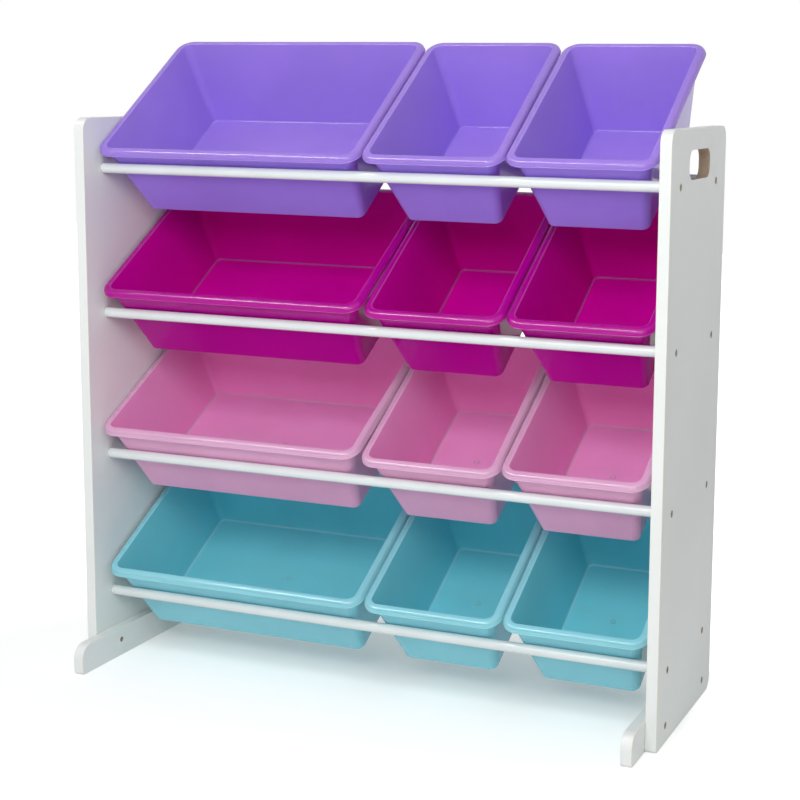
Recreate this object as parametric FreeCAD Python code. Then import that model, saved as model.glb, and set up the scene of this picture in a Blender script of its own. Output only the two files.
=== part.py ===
# Toy storage organizer: two side boards, eight rails and twelve open bins on four tiers.
# Millimetres. +Z is up, -Y faces the person who uses it, X runs along the rails.
# The origin lies on the floor, in the middle of the object's width and depth.

import FreeCAD
import Part
import math
import os

Vector = FreeCAD.Vector
ORIGIN = Vector(0, 0, 0)
X_AXIS = Vector(1, 0, 0)

# ---- side boards ----
OVERALL_WIDTH = 857.0
BOARD_THICKNESS = 15.0
BOARD_HEIGHT = 784.0
BOARD_DEPTH = 262.0
BOARD_CORNER_RADIUS = 18.0
BOARD_TOE_RADIUS = 5.0
BOARD_EASED_EDGE = 0.8

# ---- hand slot near the top of each side board ----
SLOT_LENGTH = 98.0
SLOT_HEIGHT = 37.5
SLOT_CORNER_RADIUS = 14.0
SLOT_BELOW_TOP = 27.0

# ---- feet on the boards' inner faces ----
FOOT_THICKNESS = 15.0
FOOT_HEIGHT = 41.6
FOOT_REACH = 55.4
FOOT_NOSE_RADIUS = 20.0
FOOT_SCREW_HEIGHT = 23.6
FOOT_SCREW_FROM_EDGE = 41.0

# ---- rails ----
RAIL_DIAMETER = 14.2
RAIL_WALL = 1.0
LOWEST_RAIL_HEIGHT = 97.2
TOP_RAIL_BELOW_TOP = 70.9
FRONT_RAIL_FROM_FRONT = 44.0
BACK_RAIL_FROM_BACK = 47.5

# ---- rail end plugs ----
PLUG_FLANGE = 5.0
PLUG_ROUNDING = 4.0
PLUG_SPIGOT_LENGTH = 18.0

# ---- screws and threaded inserts ----
SCREW_HEAD_DIAMETER = 9.2
SCREW_HEAD_HEIGHT = 2.6
SCREW_HEAD_SUNK = 1.0
SCREW_SOCKET = 4.0
SCREW_SOCKET_DEPTH = 1.8
RAIL_SCREW_DIAMETER = 4.0
RAIL_SCREW_LENGTH = 28.0
FOOT_SCREW_DIAMETER = 4.6
FOOT_SCREW_LENGTH = 19.0
INSERT_DIAMETER = 7.6
INSERT_LENGTH = 10.0

# ---- bins ----
BIN_LENGTH = 284.4
SMALL_BIN_WIDTH = 200.2
BIN_DEPTH = 121.0
BIN_WALL = 2.0
RIM_CORNER_RADIUS = 24.0
RIM_SKIRT_HEIGHT = 8.0
RIM_SKIRT_WALL = 1.8
RIM_TOP_THICKNESS = 2.0
RIM_EDGE_ROUNDING = 3.5
WALL_INSET = 9.6
FLOOR_INSET_FRONT = 26.6
FLOOR_INSET_BACK = 37.8
FLOOR_INSET_SIDE = 32.3
FLOOR_CORNER_RADIUS = 10.0
FLOOR_EDGE_ROUNDING = 3.0
BIN_GAP = 3.3
ROW_PLAY = 13.3

# ---- fits ----
SEAT_CLEARANCE = 0.3
SLIP_CLEARANCE = 0.1
HOLE_CLEARANCE = 0.4

# ---- tiers from the top: name, sideways place of the row, and the angle each bin leans at ----
TIERS = (
    ("top", -5.2, (34.2, 33.6, 33.0)),
    ("upper", -1.6, (30.9, 32.9, 32.9)),
    ("lower", -5.1, (28.1, 30.8, 29.5)),
    ("bottom", -0.5, (28.9, 29.3, 29.3)),
)
SIDES = (("left", -1), ("right", 1))

# ---- places that follow from the sizes ----
OUTER_X = OVERALL_WIDTH / 2
INNER_X = OUTER_X - BOARD_THICKNESS
RAIL_RADIUS = RAIL_DIAMETER / 2
TIER_PITCH = (BOARD_HEIGHT - TOP_RAIL_BELOW_TOP - LOWEST_RAIL_HEIGHT) / (len(TIERS) - 1)
RAIL_DEPTHS = (FRONT_RAIL_FROM_FRONT, BOARD_DEPTH - BACK_RAIL_FROM_BACK)
ROW_WIDTH = 2 * INNER_X - ROW_PLAY
LARGE_BIN_WIDTH = ROW_WIDTH - 2 * (SMALL_BIN_WIDTH + BIN_GAP)
BINS_IN_ROW = (
    ("large", LARGE_BIN_WIDTH),
    ("middle", SMALL_BIN_WIDTH),
    ("right", SMALL_BIN_WIDTH),
)
HEAD_SEAT_DEPTH = SCREW_HEAD_SUNK + SCREW_HEAD_HEIGHT
FOOT_SCREW_DEPTHS = (FOOT_SCREW_FROM_EDGE, BOARD_DEPTH - FOOT_SCREW_FROM_EDGE)


def rail_height(tier):
    """Height of a tier's rails; tier 0 is the top one."""
    return LOWEST_RAIL_HEIGHT + (len(TIERS) - 1 - tier) * TIER_PITCH


# ---- outlines ----

def rounded_outline(points, radii, lift):
    """Closed wire through convex corner points, each corner rounded by its own radius.

    lift turns a flat pair (a, b) into a point in space.
    """
    count = len(points)
    edges = []
    starts = []
    for i in range(count):
        before = points[i - 1]
        corner = points[i]
        after = points[(i + 1) % count]
        starts.append(corner_arc(before, corner, after, radii[i]))
    for i in range(count):
        enter, middle, leave = starts[i]
        following = starts[(i + 1) % count][0]
        edges.append(Part.Arc(lift(enter), lift(middle), lift(leave)).toShape())
        edges.append(Part.LineSegment(lift(leave), lift(following)).toShape())
    return Part.Wire(edges)


def corner_arc(before, corner, after, radius):
    """Start, middle and end of the arc that rounds a right-angled corner."""
    towards_before = unit(before, corner)
    towards_after = unit(after, corner)
    enter = tuple(c + radius * t for c, t in zip(corner, towards_before))
    leave = tuple(c + radius * t for c, t in zip(corner, towards_after))
    cut_back = radius * (1 - math.sqrt(0.5))
    middle = tuple(c + cut_back * (s + t) for c, s, t in zip(corner, towards_before, towards_after))
    return enter, middle, leave


def unit(target, start):
    """Unit direction from start to target, both flat pairs."""
    across = target[0] - start[0]
    up = target[1] - start[1]
    length = math.hypot(across, up)
    return across / length, up / length


def board(outline_points, radii, x_low, thickness):
    """Flat board that stands in the YZ plane, its long edges eased."""
    wire = rounded_outline(outline_points, radii, lambda p: Vector(x_low, p[0], p[1]))
    solid = Part.Face(wire).extrude(Vector(thickness, 0, 0))
    faces_x = (x_low, x_low + thickness)
    long_edges = [edge for edge in solid.Edges if any(lies_in_face(edge, x) for x in faces_x)]
    return solid.makeFillet(BOARD_EASED_EDGE, long_edges)


def lies_in_face(edge, x):
    """True for an edge that lies in the plane at this x."""
    return abs(edge.BoundBox.XMin - x) < 1e-6 and abs(edge.BoundBox.XMax - x) < 1e-6


def rod(radius, x_from, x_to, y, z):
    """Round bar along X."""
    low = min(x_from, x_to)
    return Part.makeCylinder(radius, abs(x_to - x_from), Vector(low, y, z), X_AXIS)


# ---- frame ----

def side_board(side):
    """Side board with its hand slot and the stepped holes for its screws."""
    corners = [(0, 0), (BOARD_DEPTH, 0), (BOARD_DEPTH, BOARD_HEIGHT), (0, BOARD_HEIGHT)]
    radii = [BOARD_TOE_RADIUS, BOARD_CORNER_RADIUS, BOARD_CORNER_RADIUS, BOARD_CORNER_RADIUS]
    x_low = min(side * INNER_X, side * OUTER_X)
    solid = board(corners, radii, x_low, BOARD_THICKNESS)
    return solid.cut([hand_slot(x_low)] + board_holes(side))


def hand_slot(x_low):
    """Rounded opening, long enough to cut right through the board."""
    low_y = (BOARD_DEPTH - SLOT_LENGTH) / 2
    high_y = low_y + SLOT_LENGTH
    high_z = BOARD_HEIGHT - SLOT_BELOW_TOP
    low_z = high_z - SLOT_HEIGHT
    corners = [(low_y, low_z), (high_y, low_z), (high_y, high_z), (low_y, high_z)]
    radii = [SLOT_CORNER_RADIUS] * 4
    wire = rounded_outline(corners, radii, lambda p: Vector(x_low - 1, p[0], p[1]))
    return Part.Face(wire).extrude(Vector(BOARD_THICKNESS + 2, 0, 0))


def board_holes(side):
    """Stepped holes for the rail screws and the foot screws of one board."""
    cutters = []
    for tier in range(len(TIERS)):
        for depth in RAIL_DEPTHS:
            cutters += stepped_hole(side, depth, rail_height(tier), RAIL_SCREW_DIAMETER)
    for depth in FOOT_SCREW_DEPTHS:
        cutters += stepped_hole(side, depth, FOOT_SCREW_HEIGHT, FOOT_SCREW_DIAMETER)
    return cutters


def stepped_hole(side, y, z, screw_diameter):
    """Through hole and the wider recess that takes the screw's head."""
    through = rod((screw_diameter + HOLE_CLEARANCE) / 2, side * (INNER_X - 1), side * (OUTER_X + 1), y, z)
    recess_radius = (SCREW_HEAD_DIAMETER + HOLE_CLEARANCE) / 2
    recess = rod(recess_radius, side * (OUTER_X - HEAD_SEAT_DEPTH), side * (OUTER_X + 1), y, z)
    return [through, recess]


def foot(side):
    """Foot board on the inner face of a side board, with through holes for its inserts."""
    corners = [(-FOOT_REACH, 0), (BOARD_DEPTH, 0), (BOARD_DEPTH, FOOT_HEIGHT), (-FOOT_REACH, FOOT_HEIGHT)]
    radii = [BOARD_TOE_RADIUS, BOARD_TOE_RADIUS, BOARD_TOE_RADIUS, FOOT_NOSE_RADIUS]
    inner = INNER_X - FOOT_THICKNESS
    x_low = min(side * inner, side * INNER_X)
    solid = board(corners, radii, x_low, FOOT_THICKNESS)
    holes = []
    for depth in FOOT_SCREW_DEPTHS:
        radius = INSERT_DIAMETER / 2 + SLIP_CLEARANCE
        holes.append(rod(radius, side * (inner - 1), side * (INNER_X + 1), depth, FOOT_SCREW_HEIGHT))
    return solid.cut(holes)


def rail(depth, height):
    """Steel tube between the two end plugs' flanges."""
    half = INNER_X - PLUG_FLANGE
    outer = rod(RAIL_RADIUS, -half, half, depth, height)
    bore = rod(RAIL_RADIUS - RAIL_WALL, -half - 1, half + 1, depth, height)
    return outer.cut(bore)


def rail_plug(side, depth, height):
    """Plug whose rounded flange fills the space between a rail and its side board."""
    flange = rod(RAIL_RADIUS, side * INNER_X, side * (INNER_X - PLUG_FLANGE), depth, height)
    rim = [edge for edge in flange.Edges if lies_in_face(edge, side * INNER_X)]
    flange = flange.makeFillet(PLUG_ROUNDING, rim)
    spigot_radius = RAIL_RADIUS - RAIL_WALL - SLIP_CLEARANCE
    spigot_end = INNER_X - PLUG_FLANGE - PLUG_SPIGOT_LENGTH
    spigot = rod(spigot_radius, side * (INNER_X - PLUG_FLANGE), side * spigot_end, depth, height)
    bore_radius = RAIL_SCREW_DIAMETER / 2 + SLIP_CLEARANCE
    bore = rod(bore_radius, side * (INNER_X + 1), side * (spigot_end - 1), depth, height)
    return flange.fuse(spigot).cut(bore).removeSplitter()


def socket_screw(side, depth, height, diameter, length):
    """Flat-topped screw with a six-sided socket, its head sunk below the board's face."""
    top = OUTER_X - SCREW_HEAD_SUNK
    seat = top - SCREW_HEAD_HEIGHT
    head = rod(SCREW_HEAD_DIAMETER / 2, side * seat, side * top, depth, height)
    shank = rod(diameter / 2, side * seat, side * (seat - length), depth, height)
    socket = hexagon_bar(side * (top - SCREW_SOCKET_DEPTH), side * (top + 1), depth, height)
    return head.fuse(shank).cut(socket).removeSplitter()


def hexagon_bar(x_from, x_to, y, z):
    """Six-sided bar along X, as wide across its flats as the screw's socket."""
    radius = SCREW_SOCKET / math.sqrt(3)
    angles = [math.radians(60 * step) for step in range(7)]
    corners = [Vector(x_from, y + radius * math.cos(a), z + radius * math.sin(a)) for a in angles]
    return Part.Face(Part.makePolygon(corners)).extrude(Vector(x_to - x_from, 0, 0))


def foot_insert(side, depth):
    """Threaded sleeve that stands against the side board inside the foot."""
    inner = INNER_X - INSERT_LENGTH
    sleeve = rod(INSERT_DIAMETER / 2, side * INNER_X, side * inner, depth, FOOT_SCREW_HEIGHT)
    bore_radius = FOOT_SCREW_DIAMETER / 2 + SLIP_CLEARANCE
    bore = rod(bore_radius, side * (INNER_X + 1), side * (inner - 1), depth, FOOT_SCREW_HEIGHT)
    return sleeve.cut(bore)


# ---- bins: modelled lying flat, the rim's top at z = 0 and its front edge at y = 0 ----

def bin_section(width, insets, radius, z):
    """Rounded rectangle at one height of a bin; insets are side, front and back."""
    side, front, back = insets
    far_side = width - side
    far_end = BIN_LENGTH - back
    corners = [(side, front), (far_side, front), (far_side, far_end), (side, far_end)]
    return rounded_outline(corners, [radius] * 4, lambda p: Vector(p[0], p[1], z))


def even(inset):
    """The same inset on a section's sides, front and back."""
    return inset, inset, inset


def tapered_block(width, thickness, top_z, bottom_z):
    """Tapered block of the bin's walls, inside their outer faces by a wall's thickness."""
    drop = BIN_DEPTH
    top_insets = even(WALL_INSET)
    floor_insets = (FLOOR_INSET_SIDE, FLOOR_INSET_FRONT, FLOOR_INSET_BACK)
    top_radius = RIM_CORNER_RADIUS - WALL_INSET
    sections = []
    for z in (top_z, bottom_z):
        share = -z / drop
        insets = [a + (b - a) * share + thickness for a, b in zip(top_insets, floor_insets)]
        radius = top_radius + (FLOOR_CORNER_RADIUS - top_radius) * share - thickness
        sections.append(bin_section(width, insets, radius, z))
    block = Part.makeLoft(sections, True, True)
    floor_edges = [edge for edge in block.Edges if lies_at_height(edge, bottom_z)]
    return block.makeFillet(FLOOR_EDGE_ROUNDING - thickness, floor_edges)


def lies_at_height(edge, z):
    """True for an edge that lies in the level plane at this z."""
    return abs(edge.BoundBox.ZMin - z) < 1e-6 and abs(edge.BoundBox.ZMax - z) < 1e-6


def rim_block(width):
    """Rim seen as a solid plate with its top edge rounded over."""
    wire = bin_section(width, even(0), RIM_CORNER_RADIUS, -RIM_SKIRT_HEIGHT)
    plate = Part.Face(wire).extrude(Vector(0, 0, RIM_SKIRT_HEIGHT))
    top_edges = [edge for edge in plate.Edges if lies_at_height(edge, 0)]
    return plate.makeFillet(RIM_EDGE_ROUNDING, top_edges)


def rim_hollow(width):
    """Space under the rim, inside its turned-down skirt."""
    radius = RIM_CORNER_RADIUS - RIM_SKIRT_WALL
    wire = bin_section(width, even(RIM_SKIRT_WALL), radius, -RIM_SKIRT_HEIGHT - 1)
    return Part.Face(wire).extrude(Vector(0, 0, 1 + RIM_SKIRT_HEIGHT - RIM_TOP_THICKNESS))


def flat_bin(width):
    """One open bin: rim, skirt, tapered walls and floor in one piece."""
    rim = rim_block(width).cut(rim_hollow(width))
    walls = tapered_block(width, 0, -RIM_TOP_THICKNESS / 2, -BIN_DEPTH)
    cavity = tapered_block(width, BIN_WALL, 1, BIN_WALL - BIN_DEPTH)
    return rim.fuse(walls).cut(cavity).removeSplitter()


def bin_seat(tilt, height):
    """Where the rim's front top edge lies when the bin rests on both rails.

    The front wall leans on the front rail and the floor lies on the back rail, each a
    small clearance away. Places are (back, up) pairs, and the bin's own axes are the
    rim's run to the back and its normal.
    """
    along = (math.cos(tilt), math.sin(tilt))
    normal = (-math.sin(tilt), math.cos(tilt))
    reach = RAIL_RADIUS + SEAT_CLEARANCE
    front_rail_depth, back_rail_depth = RAIL_DEPTHS
    back_rail_normal = -(BIN_DEPTH + reach)
    front_rail_normal = back_rail_normal - (back_rail_depth - front_rail_depth) * normal[0]
    wall_lean = (FLOOR_INSET_FRONT - WALL_INSET) / BIN_DEPTH
    wall_at_rail = WALL_INSET - front_rail_normal * wall_lean
    front_rail_along = wall_at_rail - reach * math.sqrt(1 + wall_lean ** 2)
    back = front_rail_depth - front_rail_along * along[0] - front_rail_normal * normal[0]
    up = height - front_rail_along * along[1] - front_rail_normal * normal[1]
    return back, up


def row_of_bins(tier):
    """The three bins of a tier as (node name, solid in its place)."""
    name, shift, leans = TIERS[tier]
    x = shift - ROW_WIDTH / 2
    placed = []
    for (kind, width), lean in zip(BINS_IN_ROW, leans):
        back, up = bin_seat(math.radians(lean), rail_height(tier))
        solid = flat_bin(width)
        solid.rotate(ORIGIN, X_AXIS, lean)
        solid.translate(Vector(x, back, up))
        placed.append((name + "_" + kind + "_bin", solid))
        x += width + BIN_GAP
    return placed


# ---- the whole object ----

def frame_nodes():
    """Boards, feet, plugs, screws and inserts of both sides, and the rails between them."""
    nodes = []
    heights = [rail_height(tier) for tier in range(len(TIERS))]
    rail_places = [(depth, height) for height in heights for depth in RAIL_DEPTHS]
    foot_places = [(depth, FOOT_SCREW_HEIGHT) for depth in FOOT_SCREW_DEPTHS]
    rail_screw = (RAIL_SCREW_DIAMETER, RAIL_SCREW_LENGTH)
    foot_screw = (FOOT_SCREW_DIAMETER, FOOT_SCREW_LENGTH)
    for label, side in SIDES:
        plugs = [rail_plug(side, *place) for place in rail_places]
        rail_screws = [socket_screw(side, *place, *rail_screw) for place in rail_places]
        foot_screws = [socket_screw(side, *place, *foot_screw) for place in foot_places]
        inserts = [foot_insert(side, depth) for depth in FOOT_SCREW_DEPTHS]
        nodes.append((label + "_side_board", side_board(side)))
        nodes.append((label + "_foot", foot(side)))
        nodes.append((label + "_rail_plugs", Part.makeCompound(plugs)))
        nodes.append((label + "_rail_screws", Part.makeCompound(rail_screws)))
        nodes.append((label + "_foot_screws", Part.makeCompound(foot_screws)))
        nodes.append((label + "_foot_inserts", Part.makeCompound(inserts)))
    for (tier_name, shift, leans), height in zip(TIERS, heights):
        for end, depth in zip(("front", "back"), RAIL_DEPTHS):
            nodes.append((tier_name + "_" + end + "_rail", rail(depth, height)))
    return nodes


def middle_of_depth(shapes):
    """Middle of the whole object's depth, from its foremost to its rearmost point."""
    box = Part.makeCompound(shapes).optimalBoundingBox(False)
    return (box.YMin + box.YMax) / 2


def main():
    os.makedirs("parts", exist_ok=True)
    nodes = frame_nodes()
    for tier in range(len(TIERS)):
        nodes += row_of_bins(tier)
    shift = middle_of_depth([shape for name, shape in nodes])
    for name, shape in nodes:
        shape.translate(Vector(0, -shift, 0))
        shape.exportStep("parts/" + name + ".step")


main()
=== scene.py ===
"""Looks of a toy storage organizer: laminated side boards, steel rails and moulded bins.

Metres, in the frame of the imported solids: +Z up, -Y towards the user, X along the rails.
"""

import math

import bmesh
import bpy
from bpy.props import FloatProperty, FloatVectorProperty, IntProperty, PointerProperty
from mathutils import Color, Matrix, Quaternion, Vector


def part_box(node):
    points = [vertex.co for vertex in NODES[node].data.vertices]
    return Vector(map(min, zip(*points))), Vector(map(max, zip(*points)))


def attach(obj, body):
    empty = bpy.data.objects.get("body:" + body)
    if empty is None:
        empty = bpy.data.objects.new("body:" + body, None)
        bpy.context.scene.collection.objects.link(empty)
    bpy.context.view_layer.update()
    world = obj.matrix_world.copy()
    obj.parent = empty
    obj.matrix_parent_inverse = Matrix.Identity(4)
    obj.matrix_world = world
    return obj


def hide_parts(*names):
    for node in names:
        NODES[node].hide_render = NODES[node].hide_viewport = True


bl_info = {
    "name": "Toy storage organizer",
    "version": (1, 0, 0),
    "blender": (4, 5, 0),
    "location": "3D View > Sidebar > Organizer",
    "description": "Dresses the boards, rails and bins of a toy storage organizer",
    "category": "Object",
}

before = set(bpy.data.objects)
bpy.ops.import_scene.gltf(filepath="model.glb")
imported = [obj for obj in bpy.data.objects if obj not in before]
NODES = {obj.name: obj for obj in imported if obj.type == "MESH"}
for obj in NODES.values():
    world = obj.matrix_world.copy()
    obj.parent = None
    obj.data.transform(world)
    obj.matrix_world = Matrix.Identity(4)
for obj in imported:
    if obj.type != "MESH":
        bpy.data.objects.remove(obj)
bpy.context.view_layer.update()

MM = 0.001
X_AXIS = Vector((1, 0, 0))
SIDES = ("left", "right")
TIERS = ("top", "upper", "lower", "bottom")
BIN_KINDS = ("large", "middle", "right")
RAIL_ENDS = ("front", "back")

# Material slots of a bin; slot 0 is its outside.
# Slot 1: the plastic mixed towards white, a painted highlight on the finest rounded edges.
EDGES = 1
# Slot 2: a lighter copy of the plastic for the inside, painted light for the light that bounces
# inside a bin.
INSIDE_PAINTED_LIGHT = 2

# Flat steps across each kind of rounding.
BEAD_STEPS = 2
EDGE_STEPS = 4
PLUG_STEPS = 6
BEND_STEPS = 8


# ---- sizes and colours that a user would change ----

class BinSizes(bpy.types.PropertyGroup):
    """Shape of the bins beyond what their solids give"""

    rim_radius: FloatProperty(
        name="Rim corner radius", description="Radius of the rim's corners seen from above",
        default=24 * MM, unit="LENGTH")
    rim_reach: FloatProperty(
        name="Rim reach", description="How much further than the solid's side the rim reaches",
        default=1 * MM, unit="LENGTH")
    rim_height: FloatProperty(
        name="Rim height", description="Height of the rim's turned-down skirt",
        default=8 * MM, unit="LENGTH")
    flange_width: FloatProperty(
        name="Flange width", description="From the rim's outer edge to the bin's inner wall",
        default=11.6 * MM, unit="LENGTH")
    wall: FloatProperty(
        name="Wall", description="Thickness of the walls and the floor",
        default=2 * MM, unit="LENGTH")
    bead_height: FloatProperty(
        name="Bead height", description="Height of the thin bead along the skirt's lower edge",
        default=1.3 * MM, unit="LENGTH")
    bead_reach: FloatProperty(
        name="Bead reach", description="How far the bead stands out from the skirt",
        default=0.5 * MM, unit="LENGTH")
    bead_rounding: FloatProperty(
        name="Bead rounding", description="Radius of the bead's edges",
        default=0.4 * MM, unit="LENGTH")
    crest: FloatProperty(
        name="Crest", description="Width of the flange's flat part beside the opening",
        default=3.6 * MM, unit="LENGTH")
    crown: FloatProperty(
        name="Crown", description="How far the rim's outer bend lies below the flange's top",
        default=1.3 * MM, unit="LENGTH")
    bend: FloatProperty(
        name="Bend", description="Radius of the bend between the flange and the skirt",
        default=4.6 * MM, unit="LENGTH")
    opening_rounding: FloatProperty(
        name="Opening rounding", description="Radius where the flange turns down into the bin",
        default=1.2 * MM, unit="LENGTH")
    floor_front: FloatProperty(
        name="Floor, front inset", description="From the rim's front edge back to the floor's",
        default=26.6 * MM, unit="LENGTH")
    floor_back: FloatProperty(
        name="Floor, back inset", description="From the rim's back edge forward to the floor's",
        default=37.8 * MM, unit="LENGTH")
    floor_side: FloatProperty(
        name="Floor, side inset", description="From the rim's side edge in to the floor's",
        default=32.3 * MM, unit="LENGTH")
    corner_top: FloatProperty(
        name="Wall corner radius, top",
        description="Radius of the outer wall's corners under the rim",
        default=14.4 * MM, unit="LENGTH")
    corner_floor: FloatProperty(
        name="Wall corner radius, floor",
        description="Radius of the outer wall's corners at the floor",
        default=10.5 * MM, unit="LENGTH")
    floor_edge: FloatProperty(
        name="Floor edge, outside",
        description="Radius where the walls turn into the floor, outside",
        default=3 * MM, unit="LENGTH")
    floor_fillet: FloatProperty(
        name="Floor edge, inside",
        description="Radius where the walls turn into the floor, inside",
        default=2.2 * MM, unit="LENGTH")
    mark_radius: FloatProperty(
        name="Mark radius", description="Radius of the moulding mark on the floor",
        default=3.5 * MM, unit="LENGTH")
    mark_height: FloatProperty(
        name="Mark height", description="How far the moulding mark stands up from the floor",
        default=0.6 * MM, unit="LENGTH")
    segments: IntProperty(
        name="Corner segments", description="Flat steps in each rounded corner",
        default=10, min=3, max=24)


class RailSizes(bpy.types.PropertyGroup):
    """Shape of the rails' ends"""

    plug_flange: FloatProperty(
        name="Plug flange", description="Length of the plug between a rail's end and the board",
        default=5 * MM, unit="LENGTH")
    plug_rounding: FloatProperty(
        name="Plug rounding", description="Radius of the plug's edge against the board",
        default=4 * MM, unit="LENGTH")
    segments: IntProperty(
        name="Segments", description="Flat steps round a rail",
        default=64, min=12, max=128)


def colour_property(name, description, default):
    """Colour picker whose value is an sRGB colour."""
    return FloatVectorProperty(
        name=name, description=description, default=default,
        subtype="COLOR_GAMMA", size=3, min=0.0, max=1.0)


class Finishes(bpy.types.PropertyGroup):
    """Colours of the finishes"""

    laminate: colour_property(
        "Laminate", "White laminate of the boards and feet", (0.918, 0.930, 0.922))
    arris: colour_property(
        "Arrises", "Cream edges where the laminate is eased", (0.93, 0.91, 0.85))
    fibreboard: colour_property(
        "Fibreboard", "Bare board inside the hand slots and holes", (0.73, 0.655, 0.54))
    steel_coat: colour_property(
        "Rail coat", "White coat of the rails", (0.90, 0.925, 0.925))
    plug: colour_property(
        "Plug", "Moulded plugs in the rails' ends", (0.92, 0.94, 0.93))
    zinc: colour_property(
        "Zinc", "Plated screws", (0.72, 0.71, 0.69))
    brass: colour_property(
        "Brass", "Threaded inserts in the feet", (0.74, 0.62, 0.38))
    top: colour_property(
        "Top bins", "Plastic of the top tier's bins", (0.63, 0.50, 0.885))
    upper: colour_property(
        "Upper bins", "Plastic of the second tier's bins", (0.72, 0.00, 0.59))
    lower: colour_property(
        "Lower bins", "Plastic of the third tier's bins", (0.895, 0.68, 0.82))
    bottom: colour_property(
        "Bottom bins", "Plastic of the bottom tier's bins", (0.58, 0.855, 0.91))
    # The inside colours are lighter, more saturated copies of the bins' plastic: painted light for
    # the light that bounces inside a bin.
    top_inside: colour_property(
        "Top bins, inside", "The same plastic where light bounces inside a bin",
        (0.66, 0.54, 0.90))
    upper_inside: colour_property(
        "Upper bins, inside", "The same plastic where light bounces inside a bin",
        (0.83, 0.00, 0.65))
    lower_inside: colour_property(
        "Lower bins, inside", "The same plastic where light bounces inside a bin",
        (0.965, 0.64, 0.85))
    bottom_inside: colour_property(
        "Bottom bins, inside", "The same plastic where light bounces inside a bin",
        (0.49, 0.84, 0.89))


class StageSettings(bpy.types.PropertyGroup):
    """Camera, lamps and floor"""

    camera_place: FloatVectorProperty(
        name="Camera place", description="Where the photograph was taken from",
        default=(0.980, -2.062, 0.841), subtype="TRANSLATION", size=3, unit="LENGTH")
    camera_azimuth: FloatProperty(
        name="Azimuth", description="Turn of the view from straight on, to the left",
        default=math.radians(22.23), subtype="ANGLE", unit="ROTATION")
    camera_pitch: FloatProperty(
        name="Pitch", description="How far the view looks down",
        default=math.radians(8.89), subtype="ANGLE", unit="ROTATION")
    camera_roll: FloatProperty(
        name="Roll", description="Turn of the camera about its view",
        default=math.radians(0.56), subtype="ANGLE", unit="ROTATION")
    lens: FloatProperty(
        name="Lens", description="Focal length on a 36 mm wide sensor",
        default=75.21, subtype="DISTANCE_CAMERA")
    shift: FloatVectorProperty(
        name="Shift",
        description="Where the picture lies beside the lens's axis, in picture widths",
        default=(-0.1024, -0.0735), size=2)
    sky: FloatProperty(
        name="Sky", description="Strength of the even light from all round",
        default=0.53, min=0.0)
    lamps_target: FloatVectorProperty(
        name="Lamps' target", description="Point that both lamps face",
        default=(0.0, 0.0, 0.42), subtype="TRANSLATION", size=3, unit="LENGTH")
    key: FloatProperty(
        name="Key", description="Power of the large lamp in front",
        default=22.0, min=0.0, unit="POWER")
    key_place: FloatVectorProperty(
        name="Key place", description="Where the large lamp stands",
        default=(0.35, -1.8, 1.45), subtype="TRANSLATION", size=3, unit="LENGTH")
    key_size: FloatVectorProperty(
        name="Key size", description="Width and height of the large lamp",
        default=(1.1, 0.9), size=2, unit="LENGTH")
    strip: FloatProperty(
        name="Strip", description="Power of the narrow lamp that draws the rims' highlights",
        default=50.0, min=0.0, unit="POWER")
    strip_place: FloatVectorProperty(
        name="Strip place", description="Where the narrow lamp hangs",
        default=(-0.85, -1.05, 2.4), subtype="TRANSLATION", size=3, unit="LENGTH")
    strip_size: FloatVectorProperty(
        name="Strip size", description="Width and height of the narrow lamp",
        default=(1.7, 0.35), size=2, unit="LENGTH")
    floor_size: FloatProperty(
        name="Floor size", description="Half the width of the floor",
        default=6.0, min=1.0, unit="LENGTH")
    floor_lift: FloatProperty(
        name="Floor lift", description="Light that the floor adds for the camera alone",
        default=0.30, min=0.0)
    shade_lift: FloatProperty(
        name="Shade lift", description="The same under the bins, where the shade is deepest",
        default=0.15, min=0.0)
    shade_middle: FloatVectorProperty(
        name="Shade middle", description="Middle of the shaded strip under the bins",
        default=(0.0, 0.09), size=2, unit="LENGTH")
    shade_half: FloatVectorProperty(
        name="Shade half size", description="Half the width and depth of the shaded strip",
        default=(0.40, 0.09), size=2, unit="LENGTH")
    shade_edge: FloatProperty(
        name="Shade edge", description="Width of the shaded strip's soft edge",
        default=0.05, min=0.0, unit="LENGTH")
    lit_point: FloatVectorProperty(
        name="Lit point", description="Point in front that the fade to white is measured from",
        default=(-0.10, -0.35, 0.0), subtype="TRANSLATION", size=3, unit="LENGTH")
    fade_start: FloatProperty(
        name="Fade start", description="Distance at which the floor starts to fade to white",
        default=0.55, min=0.0, unit="LENGTH")
    fade_end: FloatProperty(
        name="Fade end", description="Distance beyond which the floor is white",
        default=0.95, min=0.0, unit="LENGTH")


# ---- places read from the solids ----

def widest_facing(node):
    """Upward unit normal that most of a bin's surface shares: square to its floor."""
    areas = {}
    for face in NODES[node].data.polygons:
        if face.normal.z > 0.5:
            key = tuple(round(part, 4) for part in face.normal)
            areas[key] = areas.get(key, 0.0) + face.area
    return Vector(max(areas, key=areas.get)).normalized()


def bin_seat(node):
    """Size of a bin, and the matrix that carries it from level, rim on z = 0, to its place."""
    normal = widest_facing(node)
    along = normal.cross(X_AXIS)
    points = [vertex.co for vertex in NODES[node].data.vertices]
    runs = [point.dot(along) for point in points]
    heights = [point.dot(normal) for point in points]
    low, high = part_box(node)
    middle = (low.x + high.x) / 2
    size = Vector((high.x - low.x, max(runs) - min(runs), max(heights) - min(heights)))
    place = Matrix((X_AXIS, along, normal)).transposed().to_4x4()
    place.translation = X_AXIS * middle + along * min(runs) + normal * max(heights)
    return size, place


# ---- mesh helpers ----

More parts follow.
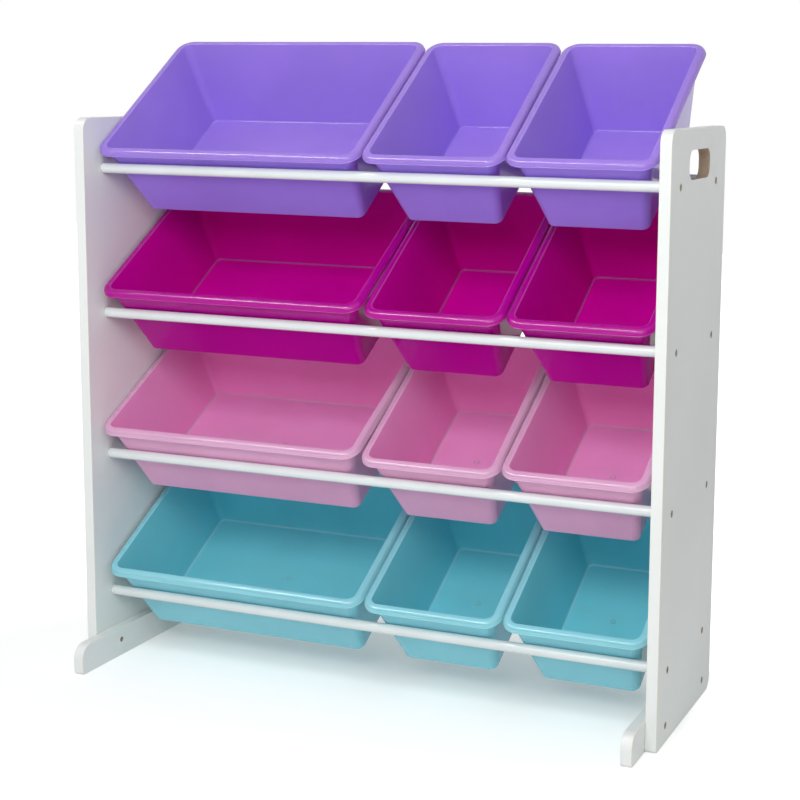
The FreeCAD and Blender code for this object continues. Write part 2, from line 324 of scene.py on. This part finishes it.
def finished_piece(name, bm, materials, body, slot, *nodes):
    """Turns a bmesh into a smooth piece that rides on a body and stands for CAD nodes."""
    mesh = bpy.data.meshes.new(name)
    for face in bm.faces:
        face.smooth = True
    bm.to_mesh(mesh)
    bm.free()
    for material in materials:
        mesh.materials.append(material)
    piece = bpy.data.objects.new(name, mesh)
    bpy.context.scene.collection.objects.link(piece)
    weighting = piece.modifiers.new("Flat faces stay flat", "WEIGHTED_NORMAL")
    weighting.weight = 80
    weighting.keep_sharp = True
    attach(piece, body)
    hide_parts(*nodes)
    return piece


def bevel(bm, edges, radius, segments):
    """Rounds edges and returns the new faces."""
    made = bmesh.ops.bevel(
        bm, geom=edges, offset=radius, offset_type="OFFSET", segments=segments,
        profile=0.5, affect="EDGES", material=-1)
    return made["faces"]


def rounded_slab(bm, low, high, radius, segments):
    """Box between two corners, its upright edges rounded. Returns its top and bottom faces."""
    corners = bmesh.ops.create_cube(bm, size=1.0)["verts"]
    bmesh.ops.scale(bm, vec=high - low, verts=corners)
    bmesh.ops.translate(bm, vec=(low + high) / 2, verts=corners)
    upright = [e for e in bm.edges if abs(e.verts[0].co.z - e.verts[1].co.z) > 0.1 * MM]
    bevel(bm, upright, radius, segments)
    heights = {face: face.calc_center_median().z for face in bm.faces}
    return max(heights, key=heights.get), min(heights, key=heights.get)


def inset(bm, face, width, rise=0.0):
    """Draws a face's outline inwards by width, and moves what is left of it along Z."""
    bmesh.ops.inset_individual(bm, faces=[face], thickness=width, use_even_offset=True)
    bmesh.ops.translate(bm, vec=(0, 0, rise), verts=face.verts)
    return face


def extrude(bm, face, rise):
    """Extrudes a face along Z and returns the face at the new end."""
    end = bmesh.ops.extrude_discrete_faces(bm, faces=[face])["faces"][0]
    bmesh.ops.translate(bm, vec=(0, 0, rise), verts=end.verts)
    return end


def resize_outline(face, old_radius, low, high, new_radius):
    """Carries a rounded outline's points to another rounded rectangle, corner by corner."""
    for axis in (0, 1):
        places = [vertex.co[axis] for vertex in face.verts]
        old_low = min(places)
        old_high = max(places)
        for vertex in face.verts:
            upper = vertex.co[axis] > (old_low + old_high) / 2
            old_centre = old_high - old_radius if upper else old_low + old_radius
            new_centre = high[axis] - new_radius if upper else low[axis] + new_radius
            turn = (vertex.co[axis] - old_centre) / old_radius
            vertex.co[axis] = new_centre + turn * new_radius


# ---- material helpers ----

def linear(colour):
    """Scene-linear RGBA of an sRGB colour."""
    return (*Color(colour).from_srgb_to_scene_linear(), 1.0)


def toned(colour, factor):
    """An sRGB colour made darker or lighter by a factor, in scene-linear RGBA."""
    return (*(min(part * factor, 1.0) for part in linear(colour)[:3]), 1.0)


def toned_srgb(colour, factor):
    """An sRGB colour scaled by a factor, still sRGB."""
    return tuple(min(part * factor, 1.0) for part in colour)


def towards_white(colour, share):
    """An sRGB colour mixed with white, in scene-linear RGBA."""
    return (*(part + (1.0 - part) * share for part in linear(colour)[:3]), 1.0)


class Finish:
    """A Principled material and short ways to add nodes to it."""

    def __init__(self, name):
        self.material = bpy.data.materials.new(name)
        self.material.use_nodes = True
        self.nodes = self.material.node_tree.nodes
        self.links = self.material.node_tree.links
        self.shader = self.nodes["Principled BSDF"]
        self.place = self.nodes.new("ShaderNodeTexCoord").outputs["Object"]

    def set(self, **values):
        """Sets sockets of the shader; a name's underscores stand for spaces."""
        for name, value in values.items():
            self.shader.inputs[name.replace("_", " ")].default_value = value

    def noise(self, scale, detail=2.0, roughness=0.5, stretch=(1, 1, 1)):
        """Noise over the object, with grains of about 1 / scale metres."""
        mapping = self.nodes.new("ShaderNodeMapping")
        mapping.inputs["Scale"].default_value = stretch
        noise = self.nodes.new("ShaderNodeTexNoise")
        noise.inputs["Scale"].default_value = scale
        noise.inputs["Detail"].default_value = detail
        noise.inputs["Roughness"].default_value = roughness
        self.links.new(self.place, mapping.inputs["Vector"])
        self.links.new(mapping.outputs["Vector"], noise.inputs["Vector"])
        return noise.outputs["Fac"]

    def math(self, operation, first, second=0.0):
        """One Math node; each input is a number or a socket."""
        node = self.nodes.new("ShaderNodeMath")
        node.operation = operation
        for socket, value in zip(node.inputs, (first, second)):
            if isinstance(value, bpy.types.NodeSocket):
                self.links.new(value, socket)
            else:
                socket.default_value = value
        return node.outputs["Value"]

    def spread(self, fac, low, high):
        """Stretches the middle of a noise, 0.35 to 0.65, over low to high."""
        node = self.nodes.new("ShaderNodeMapRange")
        node.inputs["From Min"].default_value = 0.35
        node.inputs["From Max"].default_value = 0.65
        node.inputs["To Min"].default_value = low
        node.inputs["To Max"].default_value = high
        self.links.new(fac, node.inputs["Value"])
        return node.outputs["Result"]

    def ramp(self, value, start, end, low, high):
        """Carries start to end over to low to high, with soft ends."""
        node = self.nodes.new("ShaderNodeMapRange")
        node.interpolation_type = "SMOOTHSTEP"
        limits = {"From Min": start, "From Max": end, "To Min": low, "To Max": high}
        for name, limit in limits.items():
            node.inputs[name].default_value = limit
        self.links.new(value, node.inputs["Value"])
        return node.outputs["Result"]

    def blend(self, fac, first, second):
        """Mixes two colours; each is an RGBA value or a socket."""
        node = self.nodes.new("ShaderNodeMix")
        node.data_type = "RGBA"
        self.links.new(fac, node.inputs["Factor"])
        for name, value in (("A", first), ("B", second)):
            socket = next(s for s in node.inputs if s.name == name and s.type == "RGBA")
            if isinstance(value, bpy.types.NodeSocket):
                self.links.new(value, socket)
            else:
                socket.default_value = value
        return next(s for s in node.outputs if s.type == "RGBA")

    def feed(self, name, socket):
        """Links a socket to one of the shader's inputs."""
        self.links.new(socket, self.shader.inputs[name])

    def bump(self, *layers):
        """Bumps the surface with layers of (height socket, depth in metres)."""
        normal = None
        for height, depth in layers:
            node = self.nodes.new("ShaderNodeBump")
            node.inputs["Strength"].default_value = 1.0
            node.inputs["Distance"].default_value = depth
            self.links.new(height, node.inputs["Height"])
            if normal is not None:
                self.links.new(normal, node.inputs["Normal"])
            normal = node.outputs["Normal"]
        self.feed("Normal", normal)


# ---- finishes ----

def moulded_plastic(name, colour, painted_highlight_share=0.0, roughness=0.13, shine=0.33):
    """Polypropylene that lets a little light through: faint flow clouds and a soft waviness."""
    finish = Finish(name)
    # Mixing towards white here is a painted highlight, used for the finest rounded edges.
    pale = towards_white(toned_srgb(colour, 1.01), painted_highlight_share)
    deep = towards_white(toned_srgb(colour, 0.98), painted_highlight_share)
    clouds = finish.spread(finish.noise(scale=9.0), low=0.0, high=1.0)
    finish.feed("Base Color", finish.blend(clouds, deep, pale))
    rubbed = finish.noise(scale=40.0)
    finish.feed("Roughness", finish.spread(rubbed, low=roughness, high=roughness + 0.05))
    waviness = finish.noise(scale=20.0, detail=1.0)
    grain = finish.noise(scale=240.0)
    finish.bump((waviness, 0.025 * MM), (grain, 0.0008 * MM))
    finish.set(
        IOR=1.49, Specular_IOR_Level=shine,
        Subsurface_Weight=0.6, Subsurface_Radius=(1.0, 1.0, 1.0), Subsurface_Scale=4 * MM)
    return finish.material


def laminated_board(name, node, colours):
    """White laminate with cream arrises; bare fibreboard inside the board's holes and slots."""
    finish = Finish(name)
    low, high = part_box(node)
    middle = (low + high) / 2
    skin = 0.1 * MM
    border = 8 * MM
    reach = (high - low) / 2 - Vector((skin, border, border))
    parts = finish.nodes.new("ShaderNodeSeparateXYZ")
    finish.links.new(finish.place, parts.inputs["Vector"])
    inside = None
    for axis in range(3):
        offset = finish.math("SUBTRACT", parts.outputs[axis], middle[axis])
        near = finish.math("LESS_THAN", finish.math("ABSOLUTE", offset), reach[axis])
        inside = near if inside is None else finish.math("MULTIPLY", inside, near)

    geometry = finish.nodes.new("ShaderNodeNewGeometry")
    facing = finish.nodes.new("ShaderNodeSeparateXYZ")
    finish.links.new(geometry.outputs["True Normal"], facing.inputs["Vector"])
    sideways = finish.math("ABSOLUTE", facing.outputs["X"])
    off_edge = finish.math("GREATER_THAN", sideways, 0.2)
    off_face = finish.math("LESS_THAN", sideways, 0.97)
    slanted = finish.math("MULTIPLY", off_edge, off_face)

    clouds = finish.spread(finish.noise(scale=5.0, detail=3.0), low=0.0, high=1.0)
    white = finish.blend(clouds, toned(colours.laminate, 0.98), toned(colours.laminate, 1.02))
    skin_colour = finish.blend(slanted, white, linear(colours.arris))
    fibre_noise = finish.noise(scale=900.0, detail=4.0, roughness=0.7)
    fibres = finish.spread(fibre_noise, low=0.0, high=1.0)
    bare = finish.blend(fibres, toned(colours.fibreboard, 0.80), toned(colours.fibreboard, 1.15))
    finish.feed("Base Color", finish.blend(inside, skin_colour, bare))
    sheen = finish.spread(finish.noise(scale=60.0), low=0.36, high=0.46)
    finish.feed("Roughness", finish.math("MAXIMUM", sheen, finish.math("MULTIPLY", inside, 0.9)))
    pores = finish.noise(scale=450.0)
    waviness = finish.noise(scale=12.0, detail=1.0)
    finish.bump((pores, 0.02 * MM), (waviness, 0.05 * MM))
    finish.set(IOR=1.45)
    return finish.material


def coated_steel(name, colour):
    """Powder coat: even white with a fine orange-peel skin."""
    finish = Finish(name)
    clouds = finish.spread(finish.noise(scale=14.0), low=0.0, high=1.0)
    finish.feed("Base Color", finish.blend(clouds, toned(colour, 0.97), toned(colour, 1.02)))
    finish.feed("Roughness", finish.spread(finish.noise(scale=25.0), low=0.22, high=0.26))
    finish.bump((finish.noise(scale=150.0, detail=1.0), 0.002 * MM))
    finish.set(IOR=1.5)
    return finish.material


def plug_plastic(name, colour):
    """Moulded end plug: slightly duller than the coat beside it, with a fine grain."""
    finish = Finish(name)
    clouds = finish.spread(finish.noise(scale=120.0), low=0.0, high=1.0)
    finish.feed("Base Color", finish.blend(clouds, toned(colour, 0.94), toned(colour, 1.0)))
    finish.feed("Roughness", finish.spread(finish.noise(scale=400.0), low=0.38, high=0.5))
    finish.bump((finish.noise(scale=1400.0), 0.015 * MM))
    return finish.material


def turned_metal(name, colour, roughness):
    """Plated metal: fine turned lines round X, with faint stains."""
    finish = Finish(name)
    lines = finish.noise(scale=2200.0, stretch=(1.0, 0.08, 0.08))
    stains = finish.spread(finish.noise(scale=300.0, detail=3.0), low=0.0, high=1.0)
    finish.feed("Base Color", finish.blend(stains, toned(colour, 0.8), toned(colour, 1.05)))
    finish.feed("Roughness", finish.spread(lines, low=roughness, high=roughness + 0.18))
    finish.bump((lines, 0.012 * MM))
    finish.set(Metallic=1.0)
    return finish.material


def dress(node, *materials):
    """Puts materials in a CAD node's slots."""
    slots = NODES[node].data.materials
    slots.clear()
    for material in materials:
        slots.append(material)


# ---- pieces ----

class ORGANIZER_OT_boards(bpy.types.Operator):
    """Finish the side boards and feet with white laminate"""

    bl_idname = "organizer.boards"
    bl_label = "Boards and feet"

    def execute(self, context):
        colours = context.scene.organizer_finishes
        for side in SIDES:
            for part in ("side_board", "foot"):
                node = side + "_" + part
                dress(node, laminated_board(node + "_laminate", node, colours))
        return {"FINISHED"}


class ORGANIZER_OT_fasteners(bpy.types.Operator):
    """Finish the screws in zinc and the feet's threaded inserts in brass"""

    bl_idname = "organizer.fasteners"
    bl_label = "Screws and inserts"

    def execute(self, context):
        colours = context.scene.organizer_finishes
        zinc = turned_metal("zinc_plated_screw", colours.zinc, roughness=0.30)
        brass = turned_metal("brass_insert", colours.brass, roughness=0.35)
        for side in SIDES:
            dress(side + "_rail_screws", zinc)
            dress(side + "_foot_screws", zinc)
            dress(side + "_foot_inserts", brass)
        return {"FINISHED"}


def bar(bm, radius, x_from, x_to, y, z, segments):
    """Closed round bar along X. Returns the rings of edges at its low and high end."""
    place = Matrix.Translation(((x_from + x_to) / 2, y, z)) @ Matrix.Rotation(math.pi / 2, 4, "Y")
    made = bmesh.ops.create_cone(
        bm, cap_ends=True, segments=segments, radius1=radius, radius2=radius,
        depth=abs(x_to - x_from), matrix=place)["verts"]
    edges = {edge for vertex in made for edge in vertex.link_edges}
    rings = []
    for x in sorted((x_from, x_to)):
        rings.append([e for e in edges if all(abs(v.co.x - x) < 0.01 * MM for v in e.verts)])
    return rings


class ORGANIZER_OT_rails(bpy.types.Operator):
    """Model the coated steel rails between the side boards"""

    bl_idname = "organizer.rails"
    bl_label = "Rails"

    def execute(self, context):
        coat = coated_steel("white_powder_coat", context.scene.organizer_finishes.steel_coat)
        segments = context.scene.organizer_rails.segments
        for tier in TIERS:
            for end in RAIL_ENDS:
                node = tier + "_" + end + "_rail"
                low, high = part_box(node)
                middle = (low + high) / 2
                bm = bmesh.new()
                bar(bm, (high.z - low.z) / 2, low.x, high.x, middle.y, middle.z, segments)
                finished_piece(node + "_tube", bm, [coat], "frame", "rail_white", node)
        return {"FINISHED"}


class ORGANIZER_OT_plugs(bpy.types.Operator):
    """Model the rounded plugs that close the rails' ends"""

    bl_idname = "organizer.plugs"
    bl_label = "Rail end plugs"

    def execute(self, context):
        plastic = plug_plastic("moulded_plug", context.scene.organizer_finishes.plug)
        sizes = context.scene.organizer_rails
        for side in SIDES:
            node = side + "_rail_plugs"
            low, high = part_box(node)
            board_x = low.x if side == "left" else high.x
            rail_x = board_x + sizes.plug_flange * (1 if side == "left" else -1)
            bm = bmesh.new()
            for tier in TIERS:
                for end in RAIL_ENDS:
                    rail_low, rail_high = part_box(tier + "_" + end + "_rail")
                    middle = (rail_low + rail_high) / 2
                    radius = (rail_high.z - rail_low.z) / 2
                    rings = bar(bm, radius, board_x, rail_x, middle.y, middle.z, sizes.segments)
                    outer_ring = rings[0] if side == "left" else rings[1]
                    bevel(bm, outer_ring, sizes.plug_rounding, PLUG_STEPS)
            finished_piece(node + "_caps", bm, [plastic], "frame", "plug_white", node)
        return {"FINISHED"}


def gate_mark(bm, place, sizes):
    """Small moulding mark on the floor: a low ring."""
    shell = set(bm.faces)
    start = place + Vector((sizes.mark_radius, 0, 0))
    upright = Matrix.Translation(start) @ Matrix.Rotation(math.pi / 2, 4, "X")
    ring = bmesh.ops.create_circle(
        bm, segments=12, radius=sizes.mark_height, matrix=upright)["verts"]
    outline = list({edge for vertex in ring for edge in vertex.link_edges})
    bmesh.ops.spin(
        bm, geom=ring + outline, cent=place, axis=(0, 0, 1), dvec=(0, 0, 0),
        angle=2 * math.pi, steps=32, use_merge=True, use_duplicate=False)
    bmesh.ops.recalc_face_normals(bm, faces=[face for face in bm.faces if face not in shell])


def bin_shape(size, sizes):
    """Bin drawn level: rim on z = 0, its front edge on y = 0, its middle on x = 0."""
    bm = bmesh.new()
    half = size.x / 2
    rim = sizes.rim_height
    top, bottom = rounded_slab(
        bm, Vector((-half, 0, -rim)), Vector((half, size.y, sizes.bead_height - rim)),
        sizes.rim_radius, sizes.segments)
    bead = list(top.edges) + list(bottom.edges)

    # Up the skirt, over the bend and across the flange to the opening.
    inset(bm, top, sizes.bead_reach)
    top = extrude(bm, top, rim - sizes.bead_height - sizes.crown)
    bend = list(top.edges)
    inset(bm, top, sizes.flange_width - sizes.bead_reach - sizes.crest, sizes.crown)
    ridge = list(top.edges)
    inset(bm, top, sizes.crest)
    opening = list(top.edges)
    opening_radius = sizes.rim_radius - sizes.flange_width

    # Down the inside of the walls to the floor.
    inner_floor = extrude(bm, top, sizes.wall - size.z)
    inner_low = (sizes.floor_side + sizes.wall - half, sizes.floor_front + sizes.wall)
    inner_high = (half - sizes.floor_side - sizes.wall, size.y - sizes.floor_back - sizes.wall)
    inner_radius = sizes.corner_floor - sizes.wall
    resize_outline(inner_floor, opening_radius, inner_low, inner_high, inner_radius)
    floor_line = list(inner_floor.edges)
    # The inner walls and floor take that lighter copy of the plastic: painted bounce light.
    for edge in floor_line:
        for face in edge.link_faces:
            face.material_index = INSIDE_PAINTED_LIGHT

    # Up inside the skirt, in under the flange, and down the outside of the walls.
    inset(bm, bottom, sizes.wall)
    bead += list(bottom.edges)
    bottom = extrude(bm, bottom, rim - sizes.wall)
    inset(bm, bottom, sizes.flange_width - 2 * sizes.wall)
    neck_low = (sizes.flange_width - sizes.wall - half, sizes.flange_width - sizes.wall)
    neck_high = (half + sizes.wall - sizes.flange_width, size.y + sizes.wall - sizes.flange_width)
    neck_radius = opening_radius + sizes.wall
    resize_outline(bottom, neck_radius, neck_low, neck_high, sizes.corner_top)
    outer_floor = extrude(bm, bottom, sizes.wall - size.z)
    outer_low = (sizes.floor_side - half, sizes.floor_front)
    outer_high = (half - sizes.floor_side, size.y - sizes.floor_back)
    resize_outline(outer_floor, sizes.corner_top, outer_low, outer_high, sizes.corner_floor)
    foot_line = list(outer_floor.edges)

    # Round the edges; the finest of them get a painted highlight: the plastic mixed towards white.
    painted_highlight_faces = bevel(bm, bead, sizes.bead_rounding, BEAD_STEPS)
    bevel(bm, bend, sizes.bend, BEND_STEPS)
    bevel(bm, ridge, sizes.crest / 2, EDGE_STEPS)
    bevel(bm, foot_line, sizes.floor_edge, EDGE_STEPS)
    painted_highlight_faces += bevel(bm, floor_line, sizes.floor_fillet, EDGE_STEPS)
    painted_highlight_faces += bevel(bm, opening, sizes.opening_rounding, EDGE_STEPS)
    for face in painted_highlight_faces:
        face.material_index = EDGES
    bmesh.ops.recalc_face_normals(bm, faces=bm.faces)
    if bm.calc_volume(signed=True) < 0:
        bmesh.ops.reverse_faces(bm, faces=bm.faces)
    gate_mark(bm, Vector((0, size.y / 2, sizes.wall - size.z)), sizes)
    return bm


class ORGANIZER_OT_bins(bpy.types.Operator):
    """Model the open moulded bins where their solids lie on the rails"""

    bl_idname = "organizer.bins"
    bl_label = "Bins"

    def execute(self, context):
        sizes = context.scene.organizer_bins
        colours = context.scene.organizer_finishes
        slots = {
            "top": "bin_purple", "upper": "bin_magenta", "lower": "bin_pink", "bottom": "bin_aqua"}
        for tier in TIERS:
            slot = slots[tier]
            outside = getattr(colours, tier)
            inside = getattr(colours, tier + "_inside")
            materials = [
                moulded_plastic(slot + "_plastic", outside),
                # Slot 1: the same plastic mixed towards white, a painted highlight for the finest
                # edges.
                moulded_plastic(slot + "_thin_edge", outside, painted_highlight_share=0.06),
                # Slot 2: the inside colour, a lighter copy of the plastic that paints in bounce
                # light.
                moulded_plastic(slot + "_inside", inside, roughness=0.28, shine=0.2),
            ]
            for kind in BIN_KINDS:
                node = tier + "_" + kind + "_bin"
                size, place = bin_seat(node)
                size.x += 2 * sizes.rim_reach
                bm = bin_shape(size, sizes)
                bmesh.ops.transform(bm, matrix=place, verts=bm.verts)
                finished_piece(node + "_shell", bm, materials, node, slot, node)
        return {"FINISHED"}


# ---- stage ----

WHITE = (1.0, 1.0, 1.0, 1.0)
FLOOR_DEEP = (0.925, 0.945, 0.94, 1.0)
FLOOR_PALE = (0.935, 0.955, 0.95, 1.0)
SENSOR_WIDTH = 36.0
FARTHEST_SEEN = 50.0


def floor_finish(settings):
    """Pale floor that keeps its shadows and looks white to the camera where nothing shades it."""
    finish = Finish("pale_floor")
    clouds = finish.spread(finish.noise(scale=1.5, detail=1.0), low=0.0, high=1.0)
    finish.feed("Base Color", finish.blend(clouds, FLOOR_DEEP, FLOOR_PALE))
    finish.set(Roughness=1.0, Specular_IOR_Level=0.0)

    # How far a point lies outside the shaded strip under the bins.
    parts = finish.nodes.new("ShaderNodeSeparateXYZ")
    finish.links.new(finish.place, parts.inputs["Vector"])
    outside = 0.0
    for axis in (0, 1):
        offset = finish.math("SUBTRACT", parts.outputs[axis], settings.shade_middle[axis])
        offset = finish.math("ABSOLUTE", offset)
        beyond = finish.math("SUBTRACT", offset, settings.shade_half[axis])
        outside = finish.math("MAXIMUM", outside, beyond)
    near = finish.ramp(
        outside, 0.0, settings.shade_edge, settings.shade_lift, settings.floor_lift)

    # How far it lies from the lit floor in front, beyond which all is white.
    distance = finish.nodes.new("ShaderNodeVectorMath")
    distance.operation = "DISTANCE"
    distance.inputs[1].default_value = settings.lit_point
    finish.links.new(finish.place, distance.inputs[0])
    far = finish.ramp(
        distance.outputs["Value"], settings.fade_start, settings.fade_end,
        0.0, 1.0 - settings.floor_lift)

    path = finish.nodes.new("ShaderNodeLightPath")
    lift = finish.math("ADD", near, far)
    finish.feed("Emission Strength", finish.math("MULTIPLY", path.outputs["Is Camera Ray"], lift))
    finish.set(Emission_Color=WHITE)
    return finish.material


def white_world(strength):
    """Even light from all round; white where the camera, a reflection or a refraction sees it."""
    world = bpy.data.worlds.new("studio")
    bpy.context.scene.world = world
    world.use_nodes = True
    nodes = world.node_tree.nodes
    links = world.node_tree.links
    nodes.clear()
    path = nodes.new("ShaderNodeLightPath")
    seen = path.outputs["Is Camera Ray"]
    for name in ("Is Glossy Ray", "Is Transmission Ray"):
        either = nodes.new("ShaderNodeMath")
        either.operation = "MAXIMUM"
        links.new(seen, either.inputs[0])
        links.new(path.outputs[name], either.inputs[1])
        seen = either.outputs["Value"]
    lighting = nodes.new("ShaderNodeBackground")
    lighting.inputs["Color"].default_value = WHITE
    lighting.inputs["Strength"].default_value = strength
    backdrop = nodes.new("ShaderNodeBackground")
    backdrop.inputs["Color"].default_value = WHITE
    backdrop.inputs["Strength"].default_value = 1.0
    choice = nodes.new("ShaderNodeMixShader")
    output = nodes.new("ShaderNodeOutputWorld")
    links.new(seen, choice.inputs["Fac"])
    links.new(lighting.outputs["Background"], choice.inputs[1])
    links.new(backdrop.outputs["Background"], choice.inputs[2])
    links.new(choice.outputs["Shader"], output.inputs["Surface"])


def area_lamp(name, place, target, size, power):
    """Soft rectangular lamp that points at a target."""
    lamp = bpy.data.lights.new(name, "AREA")
    lamp.shape = "RECTANGLE"
    lamp.size, lamp.size_y = size
    lamp.energy = power
    holder = bpy.data.objects.new(name, lamp)
    holder.location = place
    holder.rotation_mode = "QUATERNION"
    holder.rotation_quaternion = (Vector(target) - Vector(place)).to_track_quat("-Z", "Y")
    bpy.context.scene.collection.objects.link(holder)
    return holder


def photo_camera(settings):
    """Camera that sees the object as the photograph does."""
    camera = bpy.data.cameras.new("photo_view")
    camera.sensor_width = SENSOR_WIDTH
    camera.lens = settings.lens
    camera.shift_x, camera.shift_y = settings.shift
    camera.clip_end = FARTHEST_SEEN
    turn = settings.camera_azimuth
    dip = settings.camera_pitch
    reach = math.cos(dip)
    view = Vector((-math.sin(turn) * reach, math.cos(turn) * reach, -math.sin(dip)))
    holder = bpy.data.objects.new("photo_view", camera)
    holder.location = settings.camera_place
    holder.rotation_mode = "QUATERNION"
    level = view.to_track_quat("-Z", "Y")
    holder.rotation_quaternion = level @ Quaternion((0, 0, 1), settings.camera_roll)
    bpy.context.scene.collection.objects.link(holder)
    bpy.context.scene.camera = holder


class ORGANIZER_OT_stage(bpy.types.Operator):
    """Make the floor, the soft studio light and the photograph's camera"""

    bl_idname = "organizer.stage"
    bl_label = "Stage"

    def execute(self, context):
        settings = context.scene.organizer_stage
        context.scene.view_settings.view_transform = "Standard"
        bm = bmesh.new()
        bmesh.ops.create_grid(bm, x_segments=1, y_segments=1, size=settings.floor_size)
        mesh = bpy.data.meshes.new("floor")
        bm.to_mesh(mesh)
        bm.free()
        mesh.materials.append(floor_finish(settings))
        floor = bpy.data.objects.new("floor", mesh)
        context.scene.collection.objects.link(floor)
        white_world(settings.sky)
        target = settings.lamps_target
        area_lamp("key", settings.key_place, target, settings.key_size, settings.key)
        strip = area_lamp(
            "strip", settings.strip_place, target, settings.strip_size, settings.strip)
        strip.visible_diffuse = False
        photo_camera(settings)
        return {"FINISHED"}


# ---- panel and registration ----

class ORGANIZER_PT_pieces(bpy.types.Panel):
    """Lists the organizer's pieces, sizes and colours"""

    bl_idname = "ORGANIZER_PT_pieces"
    bl_label = "Toy storage organizer"
    bl_space_type = "VIEW_3D"
    bl_region_type = "UI"
    bl_category = "Organizer"

    def draw(self, context):
        column = self.layout.column()
        for operator in PIECE_OPERATORS:
            column.operator(operator.bl_idname)
        for group in SETTINGS:
            settings = getattr(context.scene, group)
            for name in settings.bl_rna.properties.keys():
                if name not in ("rna_type", "name"):
                    column.prop(settings, name)


PIECE_OPERATORS = (
    ORGANIZER_OT_boards,
    ORGANIZER_OT_fasteners,
    ORGANIZER_OT_rails,
    ORGANIZER_OT_plugs,
    ORGANIZER_OT_bins,
    ORGANIZER_OT_stage,
)

SETTINGS = {
    "organizer_bins": BinSizes,
    "organizer_rails": RailSizes,
    "organizer_finishes": Finishes,
    "organizer_stage": StageSettings,
}

CLASSES = (*SETTINGS.values(), *PIECE_OPERATORS, ORGANIZER_PT_pieces)


def register():
    for cls in CLASSES:
        bpy.utils.register_class(cls)
    for name, group in SETTINGS.items():
        setattr(bpy.types.Scene, name, PointerProperty(type=group))


def unregister():
    for name in SETTINGS:
        delattr(bpy.types.Scene, name)
    for cls in reversed(CLASSES):
        bpy.utils.unregister_class(cls)


def main():
    register()
    bpy.ops.organizer.boards()
    bpy.ops.organizer.fasteners()
    bpy.ops.organizer.rails()
    bpy.ops.organizer.plugs()
    bpy.ops.organizer.bins()
    bpy.ops.organizer.stage()


if __name__ == "__main__":
    main()
